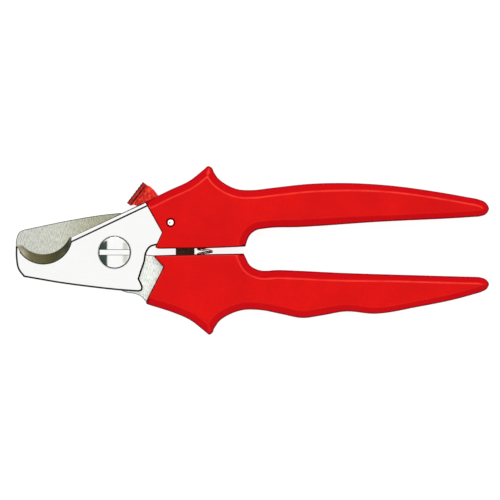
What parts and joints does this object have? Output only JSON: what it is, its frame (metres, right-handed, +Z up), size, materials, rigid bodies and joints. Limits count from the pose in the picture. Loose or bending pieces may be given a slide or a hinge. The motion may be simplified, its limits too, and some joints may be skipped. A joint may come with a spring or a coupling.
{
  "type": "scissor nail clipper",
  "caption": "Scissor-action claw clipper with a notched blade on a slotted pivot screw, moulded finger-guard handles, an opening spring and a thumb catch.",
  "frame": {"origin": "middle of the base of the box round the whole tool, lying flat on the backs of its handles", "axes": "+X from the blades to the grips, +Y from the plain grip to the grip with the catch, +Z up out of the slotted side"},
  "size_m": [0.1896, 0.0676, 0.012],
  "materials": {
    "polished_blade": "mirror-polished stainless",
    "brushed_blade": "cross-ground satin stainless",
    "bright_steel": "polished",
    "plain_steel": "machined",
    "dark_steel": "blackened, oiled",
    "spring_steel": "drawn wire",
    "red_handle": "semi-gloss moulded",
    "red_pad": "gloss moulded, ribbed"
  },
  "bodies": {
    "upper": {"upper_handle": "red_handle", "front_blade": "polished_blade", "pivot_screw": "bright_steel", "pivot_spring_washer": "plain_steel", "pivot_nut": "plain_steel", "catch_pin": "bright_steel", "catch_friction_washer": "plain_steel", "catch_pin_washer": "plain_steel", "opening_spring": "spring_steel"},
    "lower": {"lower_handle": "red_handle", "rear_blade": "brushed_blade"},
    "catch": {"catch_lever": "dark_steel", "catch_thumb_pad": "red_pad"}
  },
  "joints": [
    {"name": "blade_pivot", "type": "hinge", "parent": "upper", "child": "lower", "pos_m": [-0.05505, -0.00075, 0.006], "axis": [0, 0, -1], "range_deg": [0, 36], "deforming": ["opening_spring"]},
    {"name": "catch_pivot", "type": "hinge", "parent": "upper", "child": "catch", "pos_m": [-0.03255, 0.01115, 0.004], "axis": [0, 0, -1], "range_deg": [0, 9]}
  ]
}
